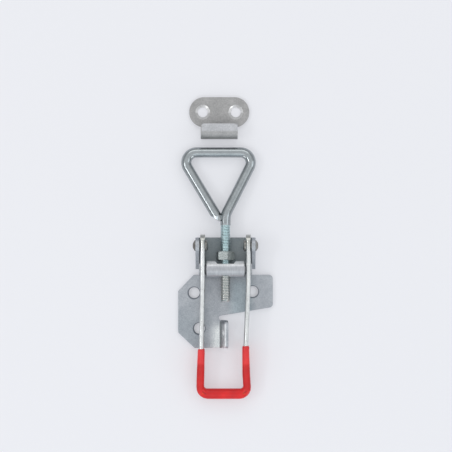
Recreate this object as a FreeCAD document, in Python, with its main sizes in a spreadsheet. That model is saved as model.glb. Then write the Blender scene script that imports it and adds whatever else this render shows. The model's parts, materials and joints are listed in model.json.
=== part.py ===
import FreeCAD, Part
import Sketcher
import math
import os

# Over-centre toggle latch with a screw-adjusted wire hook and its keeper plate.
# Millimetres.  Z = 0 is the mounting face, +Y runs towards the keeper, and the
# origin lies under the handle's pivots, on the latch's centre line.

os.makedirs("parts", exist_ok=True)
doc = FreeCAD.newDocument("toggle_latch")
sheet = doc.addObject("Spreadsheet::Sheet", "sizes")
row = 0


class Size:
    """A length or angle that carries its number and the sheet formula that gives it."""

    def __init__(self, number, text):
        self.number = number
        self.text = text

    def join(self, other, sign, number):
        if not isinstance(other, Size):
            other = Size(other, repr(other))
        return Size(number, "(%s %s %s)" % (self.text, sign, other.text))

    def __add__(self, other):
        return self.join(other, "+", self.number + plain(other))

    def __sub__(self, other):
        return self.join(other, "-", self.number - plain(other))

    def __mul__(self, other):
        return self.join(other, "*", self.number * plain(other))

    def __truediv__(self, other):
        return self.join(other, "/", self.number / plain(other))

    def __neg__(self):
        return Size(-self.number, "(0 - %s)" % self.text)


def plain(value):
    return value.number if isinstance(value, Size) else value


def size(name, number):
    """Write one independent size into the sheet and hand it back."""
    global row
    row += 1
    sheet.set("A%d" % row, name)
    sheet.set("B%d" % row, repr(number))
    sheet.setAlias("B%d" % row, name)
    return Size(number, "sizes.%s" % name)


def sine(angle):
    return Size(math.sin(math.radians(angle.number)), "sin(%s * 1 deg)" % angle.text)


def cosine(angle):
    return Size(math.cos(math.radians(angle.number)), "cos(%s * 1 deg)" % angle.text)


def tangent(angle):
    return Size(math.tan(math.radians(angle.number)), "tan(%s * 1 deg)" % angle.text)


def level_share(rise):
    """Cosine of the slope whose sine is rise."""
    return Size(math.sqrt(1 - rise.number ** 2), "sqrt(1 - %s ^ 2)" % rise.text)


def bind(item, prop, value):
    """Give a property its number and tie it to the sheet."""
    item.setExpression(prop, value.text)


def new_body(label):
    body = doc.addObject("PartDesign::Body", label)
    body.Label = label
    return body


def new_sketch(body, plane, name, offset=None):
    """A sketch on one of the body's own origin planes, moved along its normal."""
    sketch = body.newObject("Sketcher::SketchObject", name)
    for feature in body.Origin.OriginFeatures:
        if feature.Role == plane:
            sketch.AttachmentSupport = [(feature, "")]
    sketch.MapMode = "FlatFace"
    if offset is not None:
        sketch.AttachmentOffset = FreeCAD.Placement(
            FreeCAD.Vector(0, 0, offset.number), FreeCAD.Rotation()
        )
        bind(sketch, "AttachmentOffset.Base.z", offset)
    return sketch


def pin_point(sketch, geometry, vertex, x, y):
    """Hold one vertex at x and y from the sketch's origin."""
    for kind, value in (("DistanceX", x), ("DistanceY", y)):
        index = sketch.addConstraint(
            Sketcher.Constraint(kind, -1, 1, geometry, vertex, plain(value))
        )
        if isinstance(value, Size):
            sketch.setExpression("Constraints[%d]" % index, value.text)


def draw(sketch, corners, closed=True):
    """Straight runs through corners (x, y) or (x, y, radius), with tangent arcs."""
    count = len(corners)
    spots = [FreeCAD.Vector(plain(c[0]), plain(c[1]), 0) for c in corners]
    radii = [c[2] if len(c) > 2 else None for c in corners]
    starts, ends, arcs, centres = [], [], [], []
    for i in range(count):
        if radii[i] is None:
            starts.append(spots[i])
            ends.append(spots[i])
            arcs.append(None)
            centres.append(None)
            continue
        back = (spots[i - 1] - spots[i]).normalize()
        ahead = (spots[(i + 1) % count] - spots[i]).normalize()
        half = back.getAngle(ahead) / 2
        reach = plain(radii[i]) / math.tan(half)
        middle = (back + ahead).normalize()
        centre = spots[i] + middle * (plain(radii[i]) / math.sin(half))
        first = spots[i] + back * reach
        last = spots[i] + ahead * reach
        near = centre - middle * plain(radii[i])
        starts.append(first)
        ends.append(last)
        arcs.append(Part.Arc(first, near, last))
        centres.append(centre)
    lines = []
    for i in range(count if closed else count - 1):
        after = (i + 1) % count
        lines.append(sketch.addGeometry(Part.LineSegment(ends[i], starts[after])))
    for i in range(count):
        inside = closed or 0 < i < count - 1
        before = lines[i - 1] if inside else None
        after = lines[i] if i < len(lines) else None
        if arcs[i] is None:
            if inside:
                joint = Sketcher.Constraint("Coincident", before, 2, after, 1)
                sketch.addConstraint(joint)
            geometry, vertex = (after, 1) if after is not None else (lines[-1], 2)
            pin_point(sketch, geometry, vertex, corners[i][0], corners[i][1])
            continue
        bend = sketch.addGeometry(arcs[i])
        first = starts[i] - centres[i]
        last = ends[i] - centres[i]
        forward = first.cross(last).z > 0
        near, far = (1, 2) if forward else (2, 1)
        sketch.addConstraint(Sketcher.Constraint("Tangent", before, 2, bend, near))
        sketch.addConstraint(Sketcher.Constraint("Tangent", after, 1, bend, far))
        index = sketch.addConstraint(
            Sketcher.Constraint("Radius", bend, plain(radii[i]))
        )
        if isinstance(radii[i], Size):
            sketch.setExpression("Constraints[%d]" % index, radii[i].text)
        mark = sketch.addGeometry(Part.Point(spots[i]), True)
        sketch.addConstraint(Sketcher.Constraint("PointOnObject", mark, 1, before))
        sketch.addConstraint(Sketcher.Constraint("PointOnObject", mark, 1, after))
        pin_point(sketch, mark, 1, corners[i][0], corners[i][1])


def circle(sketch, x, y, diameter):
    spot = FreeCAD.Vector(plain(x), plain(y), 0)
    ring = Part.Circle(spot, FreeCAD.Vector(0, 0, 1), plain(diameter) / 2)
    index = sketch.addGeometry(ring)
    pin_point(sketch, index, 3, x, y)
    width = sketch.addConstraint(
        Sketcher.Constraint("Diameter", index, plain(diameter))
    )
    sketch.setExpression("Constraints[%d]" % width, diameter.text)


def pad(body, sketch, length, name, both_ways=False, reverse=False):
    feature = body.newObject("PartDesign::Pad", name)
    feature.Profile = sketch
    feature.Midplane = both_ways
    feature.Reversed = reverse
    bind(feature, "Length", length)
    return feature


def cut_through(body, sketch, name):
    """Cut a sketch both ways through the whole body."""
    feature = body.newObject("PartDesign::Pocket", name)
    feature.Profile = sketch
    feature.Type = "ThroughAll"
    feature.Midplane = True
    return feature


def cut_to(body, sketch, length, name, both_ways=False, reverse=False):
    feature = body.newObject("PartDesign::Pocket", name)
    feature.Profile = sketch
    feature.Midplane = both_ways
    feature.Reversed = reverse
    bind(feature, "Length", length)
    return feature


def spin(body, sketch, name, axis="H_Axis"):
    feature = body.newObject("PartDesign::Revolution", name)
    feature.Profile = sketch
    feature.ReferenceAxis = (sketch, [axis])
    feature.Angle = 360
    return feature


def sweep(body, profile, path, name):
    feature = body.newObject("PartDesign::AdditivePipe", name)
    feature.Profile = profile
    feature.Spine = path
    feature.Mode = "Frenet"
    return feature


def finish(body):
    """Recompute and make sure that the piece is one sound solid."""
    doc.recompute()
    shape = body.Shape
    assert not shape.isNull() and shape.isValid(), body.Label
    assert len(shape.Solids) == 1, body.Label
    return shape


# Base: one piece of steel sheet, its two ears bent up at the sides of the web.
sheet_thick = size("sheet_thick", 3.0)
bend_inside = size("bend_inside", 2.0)
pivot_height = size("pivot_height", 14.0)
leg_centres = size("leg_centres", 35.4)
leg_thick = size("leg_thick", 3.7)
ear_play = size("ear_play", 0.75)
ear_round = size("ear_round", 6.25)
ear_back = size("ear_back", 18.4)
ear_heel = size("ear_heel", 5.5)
neck_width = size("neck_width", 39.2)
wing_start = size("wing_start", 22.9)
base_width = size("base_width", 73.8)
base_back = size("base_back", 79.9)
shoulder_x = size("shoulder_x", 24.8)
shoulder_y = size("shoulder_y", 35.5)
foot_x = size("foot_x", 24.2)
foot_y = size("foot_y", 67.9)
right_side = size("right_side", 48.0)
right_slope = size("right_slope", 9.4)
corner_round = size("corner_round", 3.0)
small_round = size("small_round", 1.5)
bolt_hole = size("bolt_hole", 8.6)
hole_left_x = size("hole_left_x", 24.4)
hole_left_y = size("hole_left_y", 36.8)
hole_right_x = size("hole_right_x", 21.3)
hole_right_y = size("hole_right_y", 35.9)
hole_low_x = size("hole_low_x", 20.3)
hole_low_y = size("hole_low_y", 64.6)
pivot_pin = size("pivot_pin", 6.0)
pin_fit = size("pin_fit", 0.05)

leg_inner = leg_centres / 2 - leg_thick / 2
leg_outer = leg_centres / 2 + leg_thick / 2
ear_inner = leg_outer + ear_play
ear_outer = ear_inner + sheet_thick
ear_top = pivot_height + ear_round
half_base = base_width / 2
neck = neck_width / 2

base = new_body("base_plate")
channel = new_sketch(base, "XZ_Plane", "channel_section", -ear_round)
bend_outside = bend_inside + sheet_thick
draw(channel, [
    (-ear_outer, ear_top),
    (-ear_outer, Size(0.0, "0"), bend_outside),
    (ear_outer, Size(0.0, "0"), bend_outside),
    (ear_outer, ear_top),
    (ear_inner, ear_top),
    (ear_inner, sheet_thick, bend_inside),
    (-ear_inner, sheet_thick, bend_inside),
    (-ear_inner, ear_top),
])
pad(base, channel, ear_round + ear_back, "channel")

# The ears are rounded over the pivots and slope down to a low heel behind.
ear_sweep = new_sketch(base, "YZ_Plane", "ear_side_view")
past = pivot_height * 2
draw(ear_sweep, [
    (ear_round, pivot_height * 0.8),
    (ear_round, ear_top, ear_round * 0.98),
    (-ear_round * 0.45, ear_top, ear_round),
    (-ear_back, ear_heel),
    (-ear_back - 5.0, ear_heel),
    (-ear_back - 5.0, past + 5.0),
    (ear_round + 5.0, past + 5.0),
    (ear_round + 5.0, pivot_height * 0.8),
])
cut_through(base, ear_sweep, "ear_shape")

# Mounting wings, lower on the right where the strip is sheared off at a slant.
lug_bend = size("lug_bend_x", 4.6)
plan = new_sketch(base, "XY_Plane", "wing_outline")
slope_rise = tangent(right_slope) * (half_base + lug_bend)
draw(plan, [
    (-neck, -ear_back),
    (-neck, -wing_start),
    (-shoulder_x, -wing_start, small_round),
    (-half_base, -shoulder_y, small_round),
    (-half_base, -foot_y, small_round),
    (-foot_x, -base_back, small_round),
    (-lug_bend, -base_back),
    (-lug_bend, -right_side - slope_rise),
    (half_base, -right_side, corner_round),
    (half_base, -wing_start, corner_round),
    (neck, -wing_start),
    (neck, -ear_back),
])
pad(base, plan, sheet_thick, "wings")

# Lug bent up from the left wing's inner edge, leaning a little outward.
lug_angle = size("lug_angle", 79.0)
lug_rise = size("lug_rise", 12.2)
relief_width = size("relief_width", 3.5)
relief_shift = size("relief_shift", 1.1)
lug_hole = size("lug_hole", 6.0)
lug_hole_y = size("lug_hole_y", 68.2)
lug_round = size("lug_round", 4.0)
lug_front = right_side + slope_rise + relief_width * 0.95
half_turn = lug_angle / 2
inner_x = -lug_bend + bend_inside * tangent(half_turn)
outer_x = -lug_bend + bend_outside * tangent(half_turn)
top_x = inner_x + lug_rise * cosine(lug_angle)
top_z = sheet_thick + lug_rise * sine(lug_angle)
lug_section = new_sketch(base, "XZ_Plane", "lug_section", lug_front)
draw(lug_section, [
    (-lug_bend - 3.0, Size(0.0, "0")),
    (outer_x, Size(0.0, "0"), bend_outside),
    (top_x + sheet_thick * sine(lug_angle), top_z - sheet_thick * cosine(lug_angle)),
    (top_x, top_z),
    (inner_x, sheet_thick, bend_inside),
    (-lug_bend - 3.0, sheet_thick),
])
pad(base, lug_section, base_back - lug_front, "lug")

lug_view = new_sketch(base, "YZ_Plane", "lug_corners")
high = top_z + 4.0
draw(lug_view, [
    (-lug_front, sheet_thick + bend_inside),
    (-lug_front, top_z, lug_round),
    (-base_back, top_z, lug_round),
    (-base_back, sheet_thick + bend_inside),
    (-base_back - 4.0, sheet_thick + bend_inside),
    (-base_back - 4.0, high),
    (-lug_front + 4.0, high),
    (-lug_front + 4.0, sheet_thick + bend_inside),
])
cut_to(base, lug_view, neck, "lug_rounding", both_ways=True)

lug_bore = new_sketch(base, "YZ_Plane", "lug_bore")
circle(lug_bore, -lug_hole_y, top_z - lug_hole / 2 - sheet_thick * 0.75, lug_hole)
cut_to(base, lug_bore, neck, "lug_eye", both_ways=True)

# Relief at the lug's root, three bolt holes, and the bores for the pivots.
relief = new_sketch(base, "XY_Plane", "relief_circle")
circle(relief, -lug_bend + relief_shift, -lug_front + relief_width / 2, relief_width)
cut_through(base, relief, "relief")

bolts = new_sketch(base, "XY_Plane", "bolt_circles")
circle(bolts, -hole_left_x, -hole_left_y, bolt_hole)
circle(bolts, hole_right_x, -hole_right_y, bolt_hole)
circle(bolts, -hole_low_x, -hole_low_y, bolt_hole)
cut_through(base, bolts, "bolt_holes")

pivots = new_sketch(base, "YZ_Plane", "pivot_circle")
circle(pivots, Size(0.0, "0"), pivot_height, pivot_pin + pin_fit * 2)
cut_through(base, pivots, "pivot_bores")
finish(base)

# Pivot rivets: a domed head outside the ear, a low upset tail inside the leg.
rivet_head = size("rivet_head", 8.5)
head_dome = size("head_dome", 2.1)
tail_rise = size("tail_rise", 1.9)
tail_play = size("tail_play", 0.1)

rivets = []
for label, turn in (("rivet_left", 180.0), ("rivet_right", 0.0)):
    rivet = new_body(label)
    outline = new_sketch(rivet, "XZ_Plane", label + "_profile")
    tail_face = leg_inner - tail_play
    zero = Size(0.0, "0")
    draw(outline, [
        (tail_face - tail_rise, zero),
        (tail_face - tail_rise, rivet_head * 0.36),
        (tail_face - tail_rise * 0.55, rivet_head / 2),
        (tail_face, rivet_head / 2),
        (tail_face, pivot_pin / 2),
        (ear_outer, pivot_pin / 2),
        (ear_outer, rivet_head / 2),
        (ear_outer + head_dome * 0.25, rivet_head / 2),
        (ear_outer + head_dome, rivet_head * 0.22, head_dome * 1.1),
        (ear_outer + head_dome, zero),
    ])
    spin(rivet, outline, label + "_turned")
    finish(rivet)
    rivet.Placement = FreeCAD.Placement(
        FreeCAD.Vector(0, 0, pivot_height.number),
        FreeCAD.Rotation(FreeCAD.Vector(0, 0, 1), turn),
    )
    bind(rivet, "Placement.Base.z", pivot_height)
    rivets.append(rivet)

# Handle: one round rod bent to a U, its legs pressed flat on edge up to the eyes.
rod = size("rod", 6.9)
leg_depth = size("leg_depth", 12.6)
leg_edge = size("leg_edge", 1.6)
eye_reach = size("eye_reach", 8.6)
handle_reach = size("handle_reach", 115.6)
flat_from_tip = size("flat_from_tip", 34.6)
waist_thick = size("waist_thick", 4.9)
waist_depth = size("waist_depth", 9.6)
waist_from_tip = size("waist_from_tip", 15.6)
elbow_depth = size("elbow_depth", 8.2)
elbow_centre = size("elbow_centre", 5.7)
handle_tilt = size("handle_tilt", 3.0)
barrel_back = size("barrel_back", 18.4)
spigot = size("spigot", 8.0)
running_fit = size("running_fit", 0.08)
lean_start = size("lean_start", 30.0)
leg_lean = {-1: size("lean_left", 1.1), 1: size("lean_right", 2.0)}
waist_lean = {-1: size("waist_lean_left", 1.7), 1: size("waist_lean_right", 1.6)}
elbow_lean = {-1: size("elbow_lean_left", 1.95), 1: size("elbow_lean_right", 0.95)}
flat_end = handle_reach - flat_from_tip
waist_at = handle_reach - waist_from_tip


def many_sided(body, name, at, middle, wide, tall, edge, heading=0):
    """Section of the rod with three short sides round each corner, square to its run:
    heading 0 is down the left leg, 90 along the bar and 180 up the right leg."""
    section = new_sketch(body, "XZ_Plane", name, at)
    section.AttachmentOffset = FreeCAD.Placement(
        FreeCAD.Vector(middle.number, 0, at.number),
        FreeCAD.Rotation(FreeCAD.Vector(0, 1, 0), heading),
    )
    bind(section, "AttachmentOffset.Base.x", middle)
    sides = 3
    corners = []
    for quarter in range(4):
        for step in range(sides + 1):
            bearing = math.radians(90.0 * quarter + 90.0 / sides * step)
            right = 1 if quarter in (0, 3) else -1
            up = 1 if quarter < 2 else -1
            x = (wide / 2 - edge) * right + edge * round(math.cos(bearing), 6)
            z = (tall / 2 - edge) * up + edge * round(math.sin(bearing), 6)
            corners.append((x, z))
    draw(section, corners)
    return section


def blend(body, name, sections):
    """Straight taper from each leg section to the next."""
    feature = body.newObject("PartDesign::AdditiveLoft", name)
    feature.Profile = sections[0]
    feature.Sections = sections[1:]
    feature.Ruled = True
    return feature


def lower_handle(body, tag, skin):
    """The rod from where its legs start to round off, round both elbows."""
    elbow_at = handle_reach - elbow_centre
    bends = 5
    left_side, right_side_down = [], []
    for side, sections in ((-1, left_side), (1, right_side_down)):
        mark = tag + ("_left" if side < 0 else "_right")
        level = 0 if side < 0 else 180
        straight = leg_centres / 2 * side
        sections.append(many_sided(
            body, mark + "_flat", flat_end, straight - leg_lean[side],
            leg_thick + skin * 2, leg_depth + skin * 2, leg_edge + skin, level))
        sections.append(many_sided(
            body, mark + "_waist", waist_at, straight - waist_lean[side],
            waist_thick + skin * 2, waist_depth + skin * 2,
            waist_thick * 0.44 + skin, level))
        for step in range(bends + 1):
            share = step / bends
            inward = 1 - round(math.cos(math.radians(90 * share)), 6)
            onward = round(math.sin(math.radians(90 * share)), 6)
            wide = waist_thick * (1 - share) + rod * share
            tall = elbow_depth * (1 - share) + rod * share
            edge = waist_thick * 0.44 * (1 - share) + rod * 0.49 * share
            sections.append(many_sided(
                body, "%s_elbow_%d" % (mark, step),
                elbow_at + elbow_centre * onward,
                straight - elbow_lean[side] - elbow_centre * inward * side,
                wide + skin * 2, tall + skin * 2, edge + skin,
                90 * share if side < 0 else 180 - 90 * share))
    blend(body, tag + "_run", left_side + right_side_down[::-1])


handle = new_body("handle")
none = Size(0.0, "0")
lower_handle(handle, "rod", none)
for side, mark in ((-1, "left"), (1, "right")):
    straight = leg_centres / 2 * side
    upper = many_sided(handle, mark + "_upper", lean_start, straight,
                       leg_thick, leg_depth, leg_edge)
    pad(handle, upper, lean_start + eye_reach, mark + "_upper_leg", reverse=True)
    above = many_sided(handle, mark + "_lean_start", lean_start, straight,
                       leg_thick, leg_depth, leg_edge)
    below = many_sided(handle, mark + "_lean_end", flat_end, straight - leg_lean[side],
                       leg_thick, leg_depth, leg_edge)
    blend(handle, mark + "_lower_leg", [above, below])
eye = new_sketch(handle, "YZ_Plane", "eye_side_view")
draw(eye, [
    (none, -leg_depth / 2),
    (eye_reach, -leg_depth / 2, leg_depth * 0.485),
    (eye_reach, leg_depth / 2, leg_depth * 0.485),
    (none, leg_depth / 2),
    (none, leg_depth),
    (eye_reach * 2, leg_depth),
    (eye_reach * 2, -leg_depth),
    (none, -leg_depth),
])
cut_through(handle, eye, "eye_rounding")
pins = new_sketch(handle, "YZ_Plane", "leg_bores")
circle(pins, none, none, pivot_pin + running_fit * 2)
circle(pins, -barrel_back, none, spigot + running_fit * 2)
cut_through(handle, pins, "bores")
finish(handle)
lever_place = FreeCAD.Placement(
    FreeCAD.Vector(0, 0, pivot_height.number),
    FreeCAD.Rotation(FreeCAD.Vector(1, 0, 0), handle_tilt.number),
)
handle.Placement = lever_place
bind(handle, "Placement.Base.z", pivot_height)
bind(handle, "Placement.Rotation.Angle", handle_tilt)

# Dipped grip: a thin skin over the lower rod, open where it meets the bare legs.
grip_skin = size("grip_skin", 0.6)
coat = new_body("grip_outside")
lower_handle(coat, "coat", grip_skin)
finish(coat)
core = new_body("grip_inside")
lower_handle(core, "core", none)
finish(core)
grip = doc.addObject("Part::Cut", "grip")
grip.Label = "grip"
grip.Base = coat
grip.Tool = core
doc.recompute()
grip.Placement = lever_place
bind(grip, "Placement.Base.z", pivot_height)
bind(grip, "Placement.Rotation.Angle", handle_tilt)

# Cross barrel: turned bar, tapped across for the hook and spot-faced for the nut.
barrel_round = size("barrel_round", 13.0)
barrel_play = size("barrel_play", 1.05)
barrel_edge = size("barrel_edge", 0.5)
spigot_head = size("spigot_head", 9.4)
spigot_cap = size("spigot_cap", 0.9)
head_play = size("head_play", 0.25)
spot_face = size("spot_face", 16.4)
seat_depth = size("seat_depth", 2.6)
wire = size("wire", 8.0)
thread_fit = size("thread_fit", 0.06)

barrel = new_body("cross_barrel")
half_barrel = leg_inner - barrel_play
cap_face = leg_outer + head_play
profile = new_sketch(barrel, "XZ_Plane", "barrel_profile")
draw(profile, [
    (-cap_face - spigot_cap, none),
    (-cap_face - spigot_cap, spigot * 0.4),
    (-cap_face - spigot_cap * 0.4, spigot_head / 2),
    (-cap_face, spigot_head / 2),
    (-cap_face, spigot / 2),
    (-half_barrel, spigot / 2),
    (-half_barrel, barrel_round / 2 - barrel_edge),
    (-half_barrel + barrel_edge, barrel_round / 2),
    (half_barrel - barrel_edge, barrel_round / 2),
    (half_barrel, barrel_round / 2 - barrel_edge),
    (half_barrel, spigot / 2),
    (cap_face, spigot / 2),
    (cap_face, spigot_head / 2),
    (cap_face + spigot_cap * 0.4, spigot_head / 2),
    (cap_face + spigot_cap, spigot * 0.4),
    (cap_face + spigot_cap, none),
])
spin(barrel, profile, "barrel_turned")
seat_at = barrel_round / 2 - seat_depth
seat = new_sketch(barrel, "XZ_Plane", "seat_circle", -seat_at)
circle(seat, none, none, spot_face)
cut_to(barrel, seat, seat_depth * 2, "nut_seat")
tapped = new_sketch(barrel, "XZ_Plane", "tapped_circle")
circle(tapped, none, none, wire + thread_fit * 2)
cut_through(barrel, tapped, "tapped_bore")
finish(barrel)

# Hook: one steel wire, a straight threaded shank bent out into a triangle, whose
# cut end comes back to the shank and is welded on.
shank_back = size("shank_back", 25.3)
bend_at = size("bend_at", 42.4)
bend_radius = size("bend_radius", 14.0)
bar_at = size("bar_at", 91.4)
bar_right = size("bar_right", 24.6)
bar_left = size("bar_left", 36.6)
corner_centre = size("corner_centre", 8.0)
end_x = size("end_x", 4.6)
end_at = size("end_at", 37.6)
tip_chamfer = size("tip_chamfer", 1.0)

hook = new_body("hook")
path = new_sketch(hook, "XY_Plane", "wire_path")
draw(path, [
    (none, -shank_back),
    (none, bend_at, bend_radius),
    (bar_right, bar_at, corner_centre),
    (-bar_left, bar_at, corner_centre),
    (-end_x, end_at),
], closed=False)
ring = new_sketch(hook, "XZ_Plane", "wire_section", shank_back)
circle(ring, none, none, wire)
sweep(hook, ring, path, "bent_wire")
sheared = new_sketch(hook, "XY_Plane", "sheared_end")
draw(sheared, [
    (-wire * 0.52, end_at - wire * 0.05),
    (-wire * 1.9, end_at + wire * 0.75),
    (-wire * 1.9, end_at - wire),
    (-wire * 0.52, end_at - wire),
])
cut_through(hook, sheared, "end_shear")
tip = new_sketch(hook, "YZ_Plane", "tip_profile")
draw(tip, [
    (-shank_back - 1.0, wire / 2 - tip_chamfer - 1.0),
    (-shank_back + tip_chamfer + 1.0, wire / 2 + 1.0),
    (-shank_back - 1.0, wire / 2 + 1.0),
])
groove = hook.newObject("PartDesign::Groove", "tip_chamfering")
groove.Profile = tip
groove.ReferenceAxis = (tip, ["H_Axis"])
groove.Angle = 360
finish(hook)

# Lock nut: hexagon with both faces chamfered, a little way off its seat.
nut_flats = size("nut_flats", 13.0)
nut_thick = size("nut_thick", 6.8)
nut_gap = size("nut_gap", 2.9)
nut_turn = size("nut_turn", 17.0)

nut = new_body("lock_nut")
hexagon = new_sketch(nut, "XZ_Plane", "hexagon")
flat_reach = nut_flats / 2
tip_reach = flat_reach / cosine(Size(30.0, "30"))
corners = []
for step in range(6):
    bearing = nut_turn + 60.0 * step
    corners.append((tip_reach * cosine(bearing), tip_reach * sine(bearing)))
draw(hexagon, corners)
pad(nut, hexagon, nut_thick, "nut_blank", reverse=True)
bore = new_sketch(nut, "XZ_Plane", "nut_circle")
circle(bore, none, none, wire + thread_fit * 2)
cut_through(nut, bore, "nut_bore")
crown = new_sketch(nut, "XY_Plane", "nut_corner_profile")
fall = (tip_reach - flat_reach * 0.97) * 0.577
draw(crown, [
    (flat_reach * 0.97, none),
    (tip_reach + 1.0, fall + 0.577),
    (tip_reach + 1.0, nut_thick - fall - 0.577),
    (flat_reach * 0.97, nut_thick),
    (flat_reach * 0.97, nut_thick + 1.0),
    (tip_reach + 2.0, nut_thick + 1.0),
    (tip_reach + 2.0, none - 1.0),
    (flat_reach * 0.97, none - 1.0),
])
rounding = nut.newObject("PartDesign::Groove", "nut_chamfers")
rounding.Profile = crown
rounding.ReferenceAxis = (crown, ["V_Axis"])
rounding.Angle = 360
finish(nut)

# The barrel hangs in the legs, and the hook droops until its bar lies on the bench.
centre_y = -barrel_back * cosine(handle_tilt)
centre_z = pivot_height - barrel_back * sine(handle_tilt)
drop = (centre_z - wire / 2) / bar_at
droop = Size(
    math.degrees(math.asin(drop.number)), "(0 deg - asin(%s))" % drop.text
)
shank_turn = FreeCAD.Rotation(FreeCAD.Vector(1, 0, 0), -droop.number)
nut_at = seat_at + nut_gap
for piece, along in ((barrel, none), (hook, none), (nut, nut_at)):
    at_y = centre_y + along * level_share(drop)
    at_z = centre_z - along * drop
    piece.Placement = FreeCAD.Placement(
        FreeCAD.Vector(0, at_y.number, at_z.number), shank_turn
    )
    bind(piece, "Placement.Base.y", at_y)
    bind(piece, "Placement.Base.z", at_z)
    bind(piece, "Placement.Rotation.Angle", droop)

# Keeper: round-ended plate whose lip curls up and back over the hook's bar.
keeper_thick = size("keeper_thick", 2.5)
keeper_width = size("keeper_width", 46.8)
keeper_depth = size("keeper_depth", 23.4)
keeper_x = size("keeper_x", 4.9)
keeper_y = size("keeper_y", 104.0)
keeper_hole = size("keeper_hole", 7.7)
keeper_sink = size("keeper_sink", 11.5)
keeper_pitch = size("keeper_pitch", 25.8)
lip_width = size("lip_width", 28.7)
lip_front = size("lip_front", 21.2)
lip_edge = size("lip_edge", 9.1)
lip_room = size("lip_room", 8.6)
lip_round = size("lip_round", 3.0)

keeper = new_body("keeper")
stadium = new_sketch(keeper, "XY_Plane", "keeper_outline")
half_wide = keeper_width / 2
half_deep = keeper_depth / 2
draw(stadium, [
    (-half_wide, -half_deep, half_deep * 0.99),
    (half_wide, -half_deep, half_deep * 0.99),
    (half_wide, half_deep, half_deep * 0.99),
    (-half_wide, half_deep, half_deep * 0.99),
])
pad(keeper, stadium, keeper_thick, "keeper_plate")
curl = new_sketch(keeper, "YZ_Plane", "lip_section")
lip_high = keeper_thick * 2 + lip_room
draw(curl, [
    (-half_deep + 2.0, none),
    (-lip_front, none, lip_high * 0.49),
    (-lip_front, lip_high, lip_high * 0.49),
    (-lip_edge, lip_high),
    (-lip_edge, lip_high - keeper_thick),
    (-lip_front + keeper_thick, lip_high - keeper_thick, lip_room * 0.49),
    (-lip_front + keeper_thick, keeper_thick, lip_room * 0.49),
    (-half_deep + 2.0, keeper_thick),
])
pad(keeper, curl, lip_width, "lip", both_ways=True)

# The lip's free edge has rounded corners.
trim = new_sketch(keeper, "XY_Plane", "lip_corners", keeper_thick + lip_room / 2)
half_lip = lip_width / 2
draw(trim, [
    (-half_lip, -lip_front + lip_high / 2),
    (-half_lip, -lip_edge, lip_round),
    (half_lip, -lip_edge, lip_round),
    (half_lip, -lip_front + lip_high / 2),
    (half_lip + 3.0, -lip_front + lip_high / 2),
    (half_lip + 3.0, -lip_edge + 3.0),
    (-half_lip - 3.0, -lip_edge + 3.0),
    (-half_lip - 3.0, -lip_front + lip_high / 2),
])
cut_to(keeper, trim, lip_high, "lip_corner_rounding", reverse=True)

screws = new_sketch(keeper, "XY_Plane", "screw_circles")
circle(screws, -keeper_pitch / 2, none, keeper_hole)
circle(screws, keeper_pitch / 2, none, keeper_hole)
cut_through(keeper, screws, "screw_holes")
for side, mark in ((-1, "left"), (1, "right")):
    sink = new_sketch(keeper, "XZ_Plane", mark + "_sink_profile")
    middle = keeper_pitch / 2 * side
    sink_deep = (keeper_sink - keeper_hole) / 2
    draw(sink, [
        (middle, keeper_thick + 1.0),
        (middle, keeper_thick - sink_deep),
        (middle + keeper_hole / 2, keeper_thick - sink_deep),
        (middle + keeper_sink / 2, keeper_thick),
        (middle + keeper_sink / 2, keeper_thick + 1.0),
    ])
    cone = keeper.newObject("PartDesign::Groove", mark + "_sink")
    cone.Profile = sink
    sink.addGeometry(Part.LineSegment(
        FreeCAD.Vector(middle.number, -5, 0), FreeCAD.Vector(middle.number, 10, 0)
    ), True)
    cone.ReferenceAxis = (sink, ["Axis0"])
    cone.Angle = 360
finish(keeper)
keeper.Placement = FreeCAD.Placement(
    FreeCAD.Vector(-keeper_x.number, keeper_y.number, 0), FreeCAD.Rotation()
)
bind(keeper, "Placement.Base.x", -keeper_x)
bind(keeper, "Placement.Base.y", keeper_y)

doc.recompute()
pieces = [base] + rivets + [handle, grip, barrel, hook, nut, keeper]
for item in doc.Objects:
    assert "Invalid" not in item.State and "Error" not in item.State, item.Label
for piece in pieces:
    shape = piece.Shape
    assert not shape.isNull() and shape.isValid(), piece.Label
for piece in pieces:
    piece.Shape.exportStep("parts/%s.step" % piece.Label)
    box = piece.Shape.BoundBox
    print("%-13s %9.1f mm3  x %.2f..%.2f  y %.2f..%.2f  z %.2f..%.2f" % (
        piece.Label, piece.Shape.Volume, box.XMin, box.XMax, box.YMin, box.YMax,
        box.ZMin, box.ZMax,
    ))
print("barrel centre y %.4f z %.4f, droop %.4f deg" % (
    centre_y.number, centre_z.number, droop.number,
))
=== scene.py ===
import json
import math

import bmesh
import bpy
from mathutils import Matrix, Vector


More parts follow.
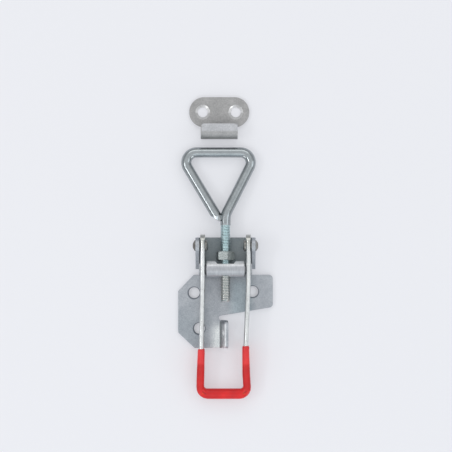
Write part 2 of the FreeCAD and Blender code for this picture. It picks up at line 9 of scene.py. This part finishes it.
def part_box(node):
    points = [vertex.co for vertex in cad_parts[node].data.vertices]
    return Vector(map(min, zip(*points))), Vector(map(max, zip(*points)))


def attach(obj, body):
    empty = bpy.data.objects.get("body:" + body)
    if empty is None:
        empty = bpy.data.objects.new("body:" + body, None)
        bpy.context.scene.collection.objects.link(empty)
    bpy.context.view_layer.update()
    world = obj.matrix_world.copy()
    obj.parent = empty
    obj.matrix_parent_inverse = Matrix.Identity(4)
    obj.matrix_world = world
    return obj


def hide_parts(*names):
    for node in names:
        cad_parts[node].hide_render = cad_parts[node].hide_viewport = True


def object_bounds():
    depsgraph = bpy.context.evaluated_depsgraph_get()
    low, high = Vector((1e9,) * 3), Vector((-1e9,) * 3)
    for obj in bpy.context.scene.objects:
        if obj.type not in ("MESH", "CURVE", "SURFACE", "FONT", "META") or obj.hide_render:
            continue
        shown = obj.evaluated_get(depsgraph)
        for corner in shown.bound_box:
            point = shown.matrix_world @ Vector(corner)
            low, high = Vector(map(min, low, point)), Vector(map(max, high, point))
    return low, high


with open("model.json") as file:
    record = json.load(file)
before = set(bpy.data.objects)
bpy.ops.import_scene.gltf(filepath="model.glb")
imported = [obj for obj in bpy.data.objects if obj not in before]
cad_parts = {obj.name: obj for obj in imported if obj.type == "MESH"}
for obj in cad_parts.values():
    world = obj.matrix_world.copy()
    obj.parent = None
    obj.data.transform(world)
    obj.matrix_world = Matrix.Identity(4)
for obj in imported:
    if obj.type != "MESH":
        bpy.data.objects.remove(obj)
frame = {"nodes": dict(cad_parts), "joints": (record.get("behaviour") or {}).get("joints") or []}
cad_low, cad_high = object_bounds()
mm = 0.001

# Studio.  The latch lies on a plain pale floor, seen from straight above through a long
# lens, under a pale ceiling.  Low soft boxes in front and a thin bright one at the left
# draw the lines along wire and legs, and weak ones in front, right and back fill in.
field = 353.1 * mm
sensor = 36.0
lens = 200.0
view_x = 0.39 * mm
view_y = 15.2 * mm
floor_across = 8.0
floor_gap = 0.02 * mm

bpy.ops.object.select_all(action="DESELECT")
bpy.ops.object.camera_add(location=(view_x, view_y, field * lens / sensor))
camera = bpy.context.object
camera.name = "camera"
camera.data.lens = lens
camera.data.sensor_width = sensor
camera.data.clip_start = 0.1
camera.data.clip_end = 20.0
bpy.context.scene.camera = camera
bpy.context.scene.view_settings.view_transform = "Standard"

bpy.ops.mesh.primitive_plane_add(size=floor_across, location=(0, 0, cad_low.z - floor_gap))
floor = bpy.context.object
floor.name = "floor"


def new_material(name):
    """A material with nothing in its node tree but its shader and output."""
    made = bpy.data.materials.new(name)
    made.use_nodes = True
    tree = made.node_tree
    return made, tree, tree.nodes["Principled BSDF"]


# To the camera, and where metal mirrors it, a share of the paper's colour is fixed, so
# that the paper is pale without more light on the latch and still takes its shadow.
fixed_share = 0.4
fixed_colour = (0.78, 0.786, 0.825, 1)
paper, tree, shader = new_material("floor_paper")
shader.inputs["Base Color"].default_value = (0.83, 0.837, 0.873, 1)
shader.inputs["Roughness"].default_value = 0.9
seen = tree.nodes.new("ShaderNodeLightPath")
direct = tree.nodes.new("ShaderNodeMath")
direct.operation = "MAXIMUM"
tree.links.new(seen.outputs["Is Camera Ray"], direct.inputs[0])
tree.links.new(seen.outputs["Is Glossy Ray"], direct.inputs[1])
through = tree.nodes.new("ShaderNodeMath")
through.operation = "MAXIMUM"
tree.links.new(direct.outputs["Value"], through.inputs[0])
tree.links.new(seen.outputs["Is Transmission Ray"], through.inputs[1])
share = tree.nodes.new("ShaderNodeMath")
share.operation = "MULTIPLY"
share.inputs[1].default_value = fixed_share
tree.links.new(through.outputs["Value"], share.inputs[0])
glow = tree.nodes.new("ShaderNodeEmission")
glow.inputs["Color"].default_value = fixed_colour
lifted = tree.nodes.new("ShaderNodeMixShader")
tree.links.new(share.outputs["Value"], lifted.inputs[0])
tree.links.new(shader.outputs["BSDF"], lifted.inputs[1])
tree.links.new(glow.outputs["Emission"], lifted.inputs[2])
tree.links.new(lifted.outputs["Shader"], tree.nodes["Material Output"].inputs["Surface"])
floor.data.materials.append(paper)


def soft_light(name, place, wide, tall, glow, tint=(1, 1, 1)):
    """A soft box at place that faces the latch and is as bright as glow all over."""
    bpy.ops.object.light_add(type="AREA", location=place)
    lamp = bpy.context.object
    lamp.name = name
    lamp.data.shape = "RECTANGLE"
    lamp.data.size = wide
    lamp.data.size_y = tall
    lamp.data.energy = glow * math.pi * wide * tall
    lamp.data.color = tint
    lamp.rotation_euler = (-Vector(place)).to_track_quat("-Z", "Y").to_euler()


soft_light("front_light", (0.0, -0.85, 1.0), 1.2, 0.62, 0.55, (0.80, 0.92, 1.0))
soft_light("low_left_light", (-1.15, -1.15, 0.36), 0.8, 0.62, 2.4)
soft_light("low_right_light", (1.15, -1.15, 0.36), 0.8, 0.62, 2.4)
soft_light("low_front_light", (0.0, -1.6, 0.42), 1.3, 0.45, 0.6, (0.76, 0.90, 1.0))
soft_light("left_light", (-0.96, -0.036, 1.02), 0.60, 0.15, 7.0)
soft_light("right_light", (1.05, 0.12, 0.8), 0.5, 0.75, 0.9, (0.90, 0.95, 1.0))
soft_light("back_light", (0.0, 1.1, 0.9), 1.4, 0.5, 1.1, (1.0, 0.99, 0.97))

# The room: grey below, paler towards the ceiling, a little darker straight overhead.
below = (0.42, 0.43, 0.44, 1)
overhead = (0.86, 0.87, 0.88, 1)
walls = ((0.5, 0.60), (0.80, 0.92), (0.93, 0.98))
world = bpy.data.worlds.new("room")
bpy.context.scene.world = world
world.use_nodes = True
room = world.node_tree
backdrop = room.nodes["Background"]
spot = room.nodes.new("ShaderNodeTexCoord")
split = room.nodes.new("ShaderNodeSeparateXYZ")
fade = room.nodes.new("ShaderNodeValToRGB")
room.links.new(spot.outputs["Generated"], split.inputs["Vector"])
room.links.new(split.outputs["Z"], fade.inputs["Fac"])
room.links.new(fade.outputs["Color"], backdrop.inputs["Color"])
fade.color_ramp.elements[0].position = 0.0
fade.color_ramp.elements[0].color = below
fade.color_ramp.elements[1].position = 1.0
fade.color_ramp.elements[1].color = overhead
for height, grey in walls:
    band = fade.color_ramp.elements.new(height)
    band.color = (grey, grey * 1.01, grey * 1.02, 1)
backdrop.inputs["Strength"].default_value = 1.0

# Base plate.  One stamping of 3 mm steel sheet, its ears and lug bent up, its edges
# broken by tumbling, zinc plated after bending: a dull, faintly mottled grey.
sheet_edge = 0.30 * mm
bolt_holes = ((-24.6, -37.0), (21.2, -36.1), (-20.5, -64.9))

# The corners at the ears' feet and on the lug stay sharp: several edges run together
# there, and their roundings would cross.
leave_room = 0.9 * mm
ear_feet = ((-19, -18.4, 0.8), (19, -18.4, 0.8), (-19.6, -18.4, 3.0), (19.6, -18.4, 3.0))
lug_corners = (
    (-0.6, -76.4, 14.9), (0.4, -77.1, 14.8), (-0.6, -61.7, 14.9), (0.4, -61.0, 14.8)
)
sharp_corners = [Vector(place) * mm for place in ear_feet + lug_corners]


def only(piece):
    """Select one piece and nothing else."""
    bpy.ops.object.select_all(action="DESELECT")
    piece.select_set(True)
    bpy.context.view_layer.objects.active = piece


def formed_copy(node, name):
    """A copy of a node's mesh as a new piece, its loose triangles merged to clean faces."""
    mesh = frame["nodes"][node].data.copy()
    piece = bpy.data.objects.new(name, mesh)
    bpy.context.scene.collection.objects.link(piece)
    mesh.materials.clear()
    only(piece)
    bpy.ops.mesh.customdata_custom_splitnormals_clear()
    bpy.ops.object.mode_set(mode="EDIT")
    bpy.ops.mesh.select_all(action="SELECT")
    bpy.ops.mesh.remove_doubles(threshold=0.002 * mm)
    bpy.ops.mesh.dissolve_limited(angle_limit=math.radians(0.6))
    bpy.ops.object.mode_set(mode="OBJECT")
    return piece


def finish_shading(piece, angle=30.0):
    """Shade the curved faces smooth and keep the flat ones flat."""
    only(piece)
    bpy.ops.object.shade_smooth_by_angle(angle=math.radians(angle))
    level = piece.modifiers.new("level", "WEIGHTED_NORMAL")
    level.mode = "FACE_AREA"
    level.weight = 100
    level.keep_sharp = True
    bpy.ops.object.modifier_apply(modifier=level.name)


def round_edges(piece, width, sharp=32.0, segments=3, leave=()):
    """Round the edges that turn by more than sharp degrees, but not at the leave points."""
    only(piece)
    bpy.ops.object.mode_set(mode="EDIT")
    bpy.ops.mesh.select_all(action="DESELECT")
    bpy.ops.mesh.select_mode(type="EDGE")
    shape = bmesh.from_edit_mesh(piece.data)
    for edge in shape.edges:
        turned = len(edge.link_faces) == 2 and edge.calc_face_angle() > math.radians(sharp)
        near = any(
            (corner.co - point).length < leave_room for corner in edge.verts for point in leave
        )
        edge.select_set(turned and not near)
    bmesh.update_edit_mesh(piece.data)
    bpy.ops.mesh.bevel(offset=width, segments=segments, affect="EDGES", clamp_overlap=False)
    bpy.ops.mesh.select_mode(type="VERT")
    bpy.ops.object.mode_set(mode="OBJECT")
    finish_shading(piece)


def zinc(name, low, high, rough, grain, run=(1, 1, 1), bump=0.12, solid=1.0):
    """Zinc plate on steel: greys from low to high, in soft patches under a fine grain.

    rough is the least and most roughness, run stretches the grain, solid is the metallic.
    """
    patch_share = 0.45
    made, tree, shader = new_material(name)
    nodes, link = tree.nodes, tree.links.new
    spot = nodes.new("ShaderNodeTexCoord")
    stretch = nodes.new("ShaderNodeMapping")
    stretch.inputs["Scale"].default_value = run
    link(spot.outputs["Object"], stretch.inputs["Vector"])
    patches = nodes.new("ShaderNodeTexNoise")
    patches.inputs["Scale"].default_value = 150.0
    patches.inputs["Detail"].default_value = 4.0
    patches.inputs["Roughness"].default_value = 0.6
    link(spot.outputs["Object"], patches.inputs["Vector"])
    fine = nodes.new("ShaderNodeTexNoise")
    fine.inputs["Scale"].default_value = grain
    fine.inputs["Detail"].default_value = 5.0
    fine.inputs["Roughness"].default_value = 0.7
    link(stretch.outputs["Vector"], fine.inputs["Vector"])
    mixed = nodes.new("ShaderNodeMath")
    mixed.operation = "MULTIPLY_ADD"
    mixed.inputs[1].default_value = patch_share
    link(patches.outputs["Fac"], mixed.inputs[0])
    link(fine.outputs["Fac"], mixed.inputs[2])
    tone = nodes.new("ShaderNodeValToRGB")
    tone.color_ramp.elements[0].position = 0.58
    tone.color_ramp.elements[0].color = (*low, 1)
    tone.color_ramp.elements[1].position = 0.87
    tone.color_ramp.elements[1].color = (*high, 1)
    link(mixed.outputs["Value"], tone.inputs["Fac"])
    link(tone.outputs["Color"], shader.inputs["Base Color"])
    gloss = nodes.new("ShaderNodeMapRange")
    gloss.inputs["From Min"].default_value = 0.3
    gloss.inputs["From Max"].default_value = 0.7
    gloss.inputs["To Min"].default_value = rough[0]
    gloss.inputs["To Max"].default_value = rough[1]
    link(fine.outputs["Fac"], gloss.inputs["Value"])
    link(gloss.outputs["Result"], shader.inputs["Roughness"])
    relief = nodes.new("ShaderNodeBump")
    relief.inputs["Strength"].default_value = bump
    relief.inputs["Distance"].default_value = 0.05 * mm
    link(fine.outputs["Fac"], relief.inputs["Height"])
    link(relief.outputs["Normal"], shader.inputs["Normal"])
    shader.inputs["Metallic"].default_value = solid
    return made


def tint(made, colour, strength):
    """Multiply a finish by colour where strength, an output of one of its nodes, is 1."""
    nodes, link = made.node_tree.nodes, made.node_tree.links.new
    finish = nodes["Principled BSDF"].inputs["Base Color"]
    blend = nodes.new("ShaderNodeMix")
    blend.data_type = "RGBA"
    blend.blend_type = "MULTIPLY"
    # For colours, the Mix node's sockets are its inputs 0, 6 and 7 and its output 2.
    link(strength, blend.inputs[0])
    link(finish.links[0].from_socket, blend.inputs[6])
    blend.inputs[7].default_value = (*colour, 1)
    link(blend.outputs[2], finish)


def tint_spot(made, colour, place, reach, fade):
    """Multiply a finish by colour within reach, in mm, of an upright axis through place."""
    nodes, link = made.node_tree.nodes, made.node_tree.links.new
    spot = nodes.new("ShaderNodeTexCoord")
    flat = nodes.new("ShaderNodeVectorMath")
    flat.operation = "MULTIPLY_ADD"
    flat.inputs[1].default_value = (1, 1, 0)
    flat.inputs[2].default_value = (-place[0] * mm, -place[1] * mm, 0)
    link(spot.outputs["Object"], flat.inputs[0])
    far = nodes.new("ShaderNodeVectorMath")
    far.operation = "LENGTH"
    link(flat.outputs["Vector"], far.inputs[0])
    edge = nodes.new("ShaderNodeMapRange")
    edge.interpolation_type = "SMOOTHSTEP"
    edge.inputs["From Min"].default_value = (reach + fade) * mm
    edge.inputs["From Max"].default_value = reach * mm
    link(far.outputs["Value"], edge.inputs["Value"])
    tint(made, colour, edge.outputs["Result"])


def tint_patch(made, colour, across, along):
    """Multiply a finish by colour over a patch that is across in x and along in y.

    Each of the two gives in mm where the patch starts, is full, is last full, and ends.
    """
    nodes, link = made.node_tree.nodes, made.node_tree.links.new
    spot = nodes.new("ShaderNodeTexCoord")
    split = nodes.new("ShaderNodeSeparateXYZ")
    link(spot.outputs["Object"], split.inputs["Vector"])
    strength = None
    for axis, (start, full, last, end) in (("X", across), ("Y", along)):
        for empty, whole in ((start, full), (end, last)):
            edge = nodes.new("ShaderNodeMapRange")
            edge.interpolation_type = "SMOOTHSTEP"
            edge.inputs["From Min"].default_value = empty * mm
            edge.inputs["From Max"].default_value = whole * mm
            link(split.outputs[axis], edge.inputs["Value"])
            if strength is None:
                strength = edge.outputs["Result"]
                continue
            both = nodes.new("ShaderNodeMath")
            both.operation = "MULTIPLY"
            link(strength, both.inputs[0])
            link(edge.outputs["Result"], both.inputs[1])
            strength = both.outputs["Value"]
    tint(made, colour, strength)


plate_zinc = zinc(
    "dull_zinc", low=(0.33, 0.355, 0.39), high=(0.50, 0.52, 0.55), rough=(0.40, 0.56),
    grain=1000.0, bump=0.2, solid=0.9,
)
# The web between the ears carries painted shade.  Beside the lug's bend are a painted
# highlight strip and a painted shade line, and the lug's face has a painted highlight.
# The two wings are a little darker.
web_shade = ((-18.6, -17.6, 17.6, 18.6), (-24, -15, 40, 41))
bend_highlight = ((-14, -5.8, -4.8, -4.3), (-82, -81, -68, -57))
bend_shade_line = ((-4.8, -4.3, -3.5, -3.0), (-82, -81, -60, -58))
lug_highlight = ((-3.2, -2.8, 0.2, 0.7), (-82, -81, -62, -60))
left_wing = ((-60, -50, -28, -12), (-100, -90, -62, -40))
right_wing = ((0, 8, 17, 24), (-64, -55, -32, -22))
for (across, along), colour in (
    (web_shade, (0.56, 0.60, 0.59)),
    (bend_highlight, (1.85, 1.82, 1.70)),
    (bend_shade_line, (0.45, 0.46, 0.45)),
    (lug_highlight, (1.7, 1.65, 1.58)),
    (left_wing, (0.84, 0.87, 0.88)),
    (right_wing, (0.90, 0.98, 0.99)),
):
    tint_patch(plate_zinc, colour, across, along)
# Painted shade: a dark ring round the rim of each bolt hole.
for place in bolt_holes:
    tint_spot(plate_zinc, (0.36, 0.38, 0.41), place, reach=4.75, fade=0.55)
base = formed_copy("base_plate", "stamped_base")
round_edges(base, sheet_edge, leave=sharp_corners)
base.data.materials.append(plate_zinc)
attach(base, "base")
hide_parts("base_plate")

# Keeper.  A second stamping, of 2.5 mm sheet, with a lip curled up and over, its crown
# given a painted highlight, and two countersunk holes whose cut cones are paler than the
# plate, their own cut metal and a painted highlight, with painted shade on their lower side.
lip_highlight = ((-18.9, -18.2, 9.2, 9.9), (87.6, 90.0, 94.2, 95.6))
all_through = (-90, -80, 80, 90)
cones_shaded_side = (80, 90, 102.6, 104.6)
holes_from = 95 * mm
cone_flattest = 0.9
cone_steepest = 0.5
keeper_zinc = zinc(
    "keeper_zinc", low=(0.31, 0.31, 0.31), high=(0.45, 0.445, 0.445), rough=(0.38, 0.54),
    grain=1100.0, bump=0.2, solid=0.9,
)
# Painted highlight along the crown of the lip.
tint_patch(keeper_zinc, (1.36, 1.39, 1.45), *lip_highlight)
# The cut cones' finish: partly their own bright cut metal, partly a painted highlight.
cut_and_highlight_zinc = zinc(
    "cut_and_highlight_zinc", low=(0.80, 0.80, 0.80), high=(0.93, 0.93, 0.93), rough=(0.26, 0.38),
    grain=1500.0, solid=0.6,
)
# Painted shade on the cones' lower side.
tint_patch(cut_and_highlight_zinc, (0.66, 0.66, 0.66), all_through, cones_shaded_side)
keeper = formed_copy("keeper", "curled_keeper")
for face in keeper.data.polygons:
    sloped = cone_steepest < face.normal.z < cone_flattest
    face.material_index = 1 if sloped and face.center.y > holes_from else 0
round_edges(keeper, 0.20 * mm, sharp=38.0)
keeper.data.materials.append(keeper_zinc)
keeper.data.materials.append(cut_and_highlight_zinc)
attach(keeper, "base")
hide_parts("keeper")

# Handle.  A steel rod bent to a U, its legs pressed flat; bright zinc, with the rod's
# own fine drawing lines along the legs, and painted shade round the two eyes.
leg_zinc = zinc(
    "bright_zinc", low=(0.62, 0.64, 0.64), high=(0.80, 0.82, 0.815), rough=(0.24, 0.38),
    grain=1800.0, run=(1, 0.12, 1), bump=0.08,
)
# Painted shade round the two eyes.
tint_patch(leg_zinc, (0.72, 0.71, 0.68), all_through, (-6, 4, 40, 41))
handle = formed_copy("handle", "pressed_handle")
finish_shading(handle, 35.0)
handle.data.materials.append(leg_zinc)
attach(handle, "lever")
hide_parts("handle")

# Pivot rivets.  Two short steel rivets that pin the handle's legs inside the ears, cold
# headed, in a dark zinc; the left one carries painted shade and is darker still.
rivet_zinc = zinc(
    "shaded_rivet_zinc", low=(0.17, 0.165, 0.155), high=(0.36, 0.355, 0.34), rough=(0.28, 0.46),
    grain=1600.0,
)
# Painted shade on the left rivet.
tint_patch(rivet_zinc, (0.62, 0.60, 0.58), (-40, -39, -21, -19), all_through)
for node in ("rivet_left", "rivet_right"):
    frame["nodes"][node].data.materials[0] = rivet_zinc

# Cross barrel.  Turned steel bar with the tool's fine rings round it, tapped for the hook
# and riveted over outside the handle's legs; painted shade in the gaps beside the legs
# and a painted highlight along its upper side.
left_gap_shade = (-16.4, -16.1, -15.1, -14.8)
right_gap_shade = (15.0, 15.3, 16.4, 16.7)
top_highlight = (-16.2, -14.4, 40, 41)
turned_zinc = zinc(
    "turned_zinc", low=(0.36, 0.375, 0.40), high=(0.50, 0.515, 0.54), rough=(0.28, 0.40),
    grain=2400.0, run=(1, 0.1, 0.1), bump=0.10, solid=0.6,
)
# Painted shade in the gaps beside the legs, and a painted highlight along the upper side.
tint_patch(turned_zinc, (0.2, 0.2, 0.2), right_gap_shade, all_through)
tint_patch(turned_zinc, (0.2, 0.2, 0.2), left_gap_shade, all_through)
tint_patch(turned_zinc, (1.7, 1.68, 1.62), all_through, top_highlight)
barrel = formed_copy("cross_barrel", "turned_barrel")
round_edges(barrel, 0.12 * mm, sharp=38.0, segments=2)
barrel.data.materials.append(turned_zinc)
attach(barrel, "barrel")
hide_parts("cross_barrel")

# Lock nut.  Cold-formed steel, its corners chamfered at both faces, plated like the
# wire; it stops the hook from turning in the barrel.
nut_zinc = zinc(
    "nut_zinc", low=(0.28, 0.31, 0.31), high=(0.35, 0.38, 0.38), rough=(0.22, 0.32),
    grain=1500.0, solid=0.85,
)
nut = formed_copy("lock_nut", "hex_lock_nut")
round_edges(nut, 0.14 * mm, sharp=22.0, segments=2)
nut.data.materials.append(nut_zinc)
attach(nut, "nut")
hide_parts("lock_nut")

# Hook.  One drawn steel wire, bent to a triangle whose end is run into the shank.  The
# shank is rolled with an M8 thread, coarser and greener than the drawn wire.
crotch_shadow = (-4.4, 24.5)
sheared_end_highlight = ((-10.5, -9.6, -6.2, -5.4), (19.4, 20.2, 22.3, 23.2))
behind_barrel = (-90, -80, -26, -18)
wire_zinc = zinc(
    "wire_zinc", low=(0.30, 0.33, 0.345), high=(0.42, 0.45, 0.465), rough=(0.13, 0.20),
    grain=1500.0, bump=0.04,
)
# Painted shadow in the crotch where the wire's end meets the shank.
tint_spot(wire_zinc, (0.12, 0.13, 0.13), crotch_shadow, reach=0.5, fade=0.6)
# The sheared end: its own bare cut metal, brightened further by a painted highlight.
tint_patch(wire_zinc, (1.9, 1.95, 2.0), *sheared_end_highlight)
thread_zinc = zinc(
    "thread_zinc", low=(0.62, 0.75, 0.77), high=(0.78, 0.90, 0.92), rough=(0.22, 0.34),
    grain=1500.0, bump=0.06,
)
tint_patch(thread_zinc, (1.05, 0.88, 0.84), all_through, behind_barrel)
# The thread's roots take a darker finish: painted shade in its grooves.
root_shade_zinc = zinc(
    "root_shade_zinc", low=(0.20, 0.26, 0.27), high=(0.30, 0.37, 0.38), rough=(0.34, 0.50),
    grain=1500.0,
)
along = Vector(next(j["axis"] for j in frame["joints"] if j["name"] == "hook_run")).normalized()
barrel_low, barrel_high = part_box("cross_barrel")
centre = (barrel_low + barrel_high) / 2
pitch = 1.25 * mm
crest = 3.97 * mm
root = 3.32 * mm
crest_flat = 0.125 * pitch
root_flat = 0.25 * pitch
flank = 0.3125 * pitch
thread_sides = 40
thread_end = 34.15 * mm
thread_overlap = 0.3 * mm
shank_back = 25.1 * mm
point_chamfer = 0.9 * mm
spare_turns = 3

hook = formed_copy("hook", "wire_hook")
bpy.ops.object.mode_set(mode="EDIT")
bpy.ops.mesh.select_all(action="SELECT")
bpy.ops.mesh.bisect(
    plane_co=centre + along * thread_end, plane_no=along, clear_inner=True, use_fill=True
)
bpy.ops.object.mode_set(mode="OBJECT")
finish_shading(hook)
hook.data.materials.append(wire_zinc)
hook.data.materials.append(thread_zinc)
hook.data.materials.append(root_shade_zinc)

# One turn of the thread's crest, flank and root is drawn point by point from a single
# vertex, wound up the shank's length, cut square at both ends and chamfered at its point.
bpy.ops.object.select_all(action="DESELECT")
bpy.ops.mesh.primitive_plane_add(size=0.5 * mm, location=(0, 0, 0))
thread = bpy.context.object
thread.name = "thread"
bpy.ops.object.mode_set(mode="EDIT")
bpy.ops.mesh.select_all(action="SELECT")
bpy.ops.mesh.merge(type="CENTER")
bpy.ops.transform.translate(value=(crest, 0, 0))
for step_out, step_up in (
    (0, crest_flat), (root - crest, flank), (0, root_flat), (crest - root, flank)
):
    bpy.ops.mesh.extrude_region_move(
        TRANSFORM_OT_translate={"value": (step_out, 0, step_up)}
    )
bpy.ops.object.mode_set(mode="OBJECT")
winding = thread.modifiers.new("winding", "SCREW")
winding.axis = "Z"
winding.screw_offset = pitch
winding.iterations = math.ceil((thread_end + shank_back) / pitch) + spare_turns
winding.steps = thread_sides
winding.render_steps = thread_sides
bpy.ops.object.modifier_apply(modifier=winding.name)
bpy.ops.object.mode_set(mode="EDIT")
bpy.ops.mesh.select_all(action="SELECT")
bpy.ops.mesh.remove_doubles(threshold=0.005 * mm)
low_cut = pitch * 1.53
high_cut = low_cut + shank_back + thread_end + thread_overlap
for height, keep_above in ((low_cut, True), (high_cut, False)):
    bpy.ops.mesh.select_all(action="SELECT")
    bpy.ops.mesh.bisect(
        plane_co=(0, 0, height), plane_no=(0, 0, 1), use_fill=True, threshold=0.001 * mm,
        clear_inner=keep_above, clear_outer=not keep_above,
    )
bpy.ops.mesh.select_all(action="SELECT")
bpy.ops.mesh.normals_make_consistent(inside=False)
bpy.ops.object.mode_set(mode="OBJECT")
for corner in thread.data.vertices:
    above_end = corner.co.z - low_cut
    widest = crest - point_chamfer + above_end
    out = math.hypot(corner.co.x, corner.co.y)
    if above_end < point_chamfer and out > widest:
        corner.co.x *= widest / out
        corner.co.y *= widest / out
for face in thread.data.polygons:
    in_root = math.hypot(face.center.x, face.center.y) < root + 0.1 * mm
    face.material_index = 2 if in_root and abs(face.normal.z) < 0.5 else 1
turn = Vector((0, 0, 1)).rotation_difference(along).to_matrix().to_4x4()
start = centre - along * shank_back
thread.data.transform(Matrix.Translation(start) @ turn @ Matrix.Translation((0, 0, -low_cut)))
thread.data.materials.append(wire_zinc)
thread.data.materials.append(thread_zinc)
thread.data.materials.append(root_shade_zinc)
finish_shading(thread, 25.0)

bpy.ops.object.select_all(action="DESELECT")
thread.select_set(True)
hook.select_set(True)
bpy.context.view_layer.objects.active = hook
bpy.ops.object.join()
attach(hook, "hook")
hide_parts("hook")

# Grip.  Red vinyl that the handle's lower end was dipped in: a skin that follows the
# rod, thicker at the dip line, which lies a little aslant, and creased in the elbows.
dip_left = Vector((-19.0, -79.9, 0)) * mm
dip_right = Vector((15.8, -77.5, 0)) * mm
skin_dip = 0.90 * mm
skin_full = 0.58 * mm
drained = 22 * mm
bar_from = -105 * mm
bar_inner_skin = 0.35 * mm
creases = (
    (Vector((-17.6, -113.6, 0)) * mm, Vector((-15.4, -115.2, 0)) * mm),
    (Vector((16.0, -113.2, 0)) * mm, Vector((13.9, -114.8, 0)) * mm),
)
crease_depth = 0.36 * mm
crease_width = 0.55 * mm
facing_up = 0.3

grip = formed_copy("handle", "dipped_grip")
slant = (dip_right - dip_left).normalized()
upward = Vector((-slant.y, slant.x, 0))
bpy.ops.object.mode_set(mode="EDIT")
bpy.ops.mesh.select_all(action="SELECT")
bpy.ops.mesh.bisect(
    plane_co=dip_left - upward * skin_dip, plane_no=upward, clear_outer=True, use_fill=True
)
bpy.ops.object.mode_set(mode="OBJECT")
even = grip.modifiers.new("even", "REMESH")
even.mode = "VOXEL"
even.voxel_size = 0.38 * mm
bpy.ops.object.modifier_apply(modifier=even.name)
grip_top = max(corner.co.y for corner in grip.data.vertices)
moves = []
for corner in grip.data.vertices:
    down = min(1.0, (grip_top - corner.co.y) / drained)
    skin = skin_dip + (skin_full - skin_dip) * down
    if corner.co.y < bar_from:
        skin += bar_inner_skin * max(0.0, corner.normal.y)
    moves.append(corner.co + corner.normal * skin)
for corner, place in zip(grip.data.vertices, moves):
    corner.co = place
flow = grip.modifiers.new("flow", "SMOOTH")
flow.factor = 0.5
flow.iterations = 8
bpy.ops.object.modifier_apply(modifier=flow.name)
for corner in grip.data.vertices:
    if corner.normal.z < facing_up:
        continue
    for start, end in creases:
        run = end - start
        part = max(0.0, min(1.0, (corner.co - start).xy.dot(run.xy) / run.xy.length_squared))
        far = (corner.co - start - run * part).xy.length
        corner.co.z -= crease_depth * math.exp(-((far / crease_width) ** 2))
core = formed_copy("handle", "grip_core")
only(grip)
hollow = grip.modifiers.new("hollow", "BOOLEAN")
hollow.operation = "DIFFERENCE"
hollow.solver = "EXACT"
hollow.object = core
bpy.ops.object.modifier_apply(modifier=hollow.name)
bpy.data.objects.remove(core)
finish_shading(grip, 50.0)

red_vinyl, tree, shader = new_material("red_vinyl")
nodes, link = tree.nodes, tree.links.new
spot = nodes.new("ShaderNodeTexCoord")
cloud = nodes.new("ShaderNodeTexNoise")
cloud.inputs["Scale"].default_value = 120.0
cloud.inputs["Detail"].default_value = 3.0
link(spot.outputs["Object"], cloud.inputs["Vector"])
tone = nodes.new("ShaderNodeValToRGB")
tone.color_ramp.elements[0].position = 0.30
tone.color_ramp.elements[0].color = (0.47, 0.007, 0.008, 1)
tone.color_ramp.elements[1].position = 0.72
tone.color_ramp.elements[1].color = (0.62, 0.012, 0.012, 1)
link(cloud.outputs["Fac"], tone.inputs["Fac"])
link(tone.outputs["Color"], shader.inputs["Base Color"])
pores = nodes.new("ShaderNodeTexNoise")
pores.inputs["Scale"].default_value = 900.0
pores.inputs["Detail"].default_value = 3.0
link(spot.outputs["Object"], pores.inputs["Vector"])
relief = nodes.new("ShaderNodeBump")
relief.inputs["Strength"].default_value = 0.06
relief.inputs["Distance"].default_value = 0.1 * mm
link(pores.outputs["Fac"], relief.inputs["Height"])
link(relief.outputs["Normal"], shader.inputs["Normal"])
gloss = nodes.new("ShaderNodeMapRange")
gloss.inputs["To Min"].default_value = 0.28
gloss.inputs["To Max"].default_value = 0.44
link(pores.outputs["Fac"], gloss.inputs["Value"])
link(gloss.outputs["Result"], shader.inputs["Roughness"])
shader.inputs["Specular IOR Level"].default_value = 0.42
# The legs carry a painted sheen near the dip line, and the bar is a little brighter.  A
# painted shade line marks each crease, with a painted orange highlight below it.
upper_leg_sheen = (-93.4, -90.6, 0, 1)
bar = (-130, -125, -115, -110)
crease_highlights = ((-17.8, -115.1), (14.3, -114.9))
# Painted sheen on the legs near the dip line.
tint_patch(red_vinyl, (1.28, 3.4, 3.4), all_through, upper_leg_sheen)
tint_patch(red_vinyl, (1.12, 0.9, 0.9), all_through, bar)
# Painted orange highlight below each crease.
for place in crease_highlights:
    tint_spot(red_vinyl, (1.08, 3.4, 0.9), place, reach=0.4, fade=1.0)
# Painted shade along each crease.
for start, end in creases:
    for step in (0.0, 0.33, 0.67, 1.0):
        place = start.lerp(end, step) / mm
        tint_spot(red_vinyl, (0.62, 0.9, 0.9), place, reach=0.1, fade=0.75)
grip.data.materials.append(red_vinyl)
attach(grip, "lever")
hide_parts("grip")
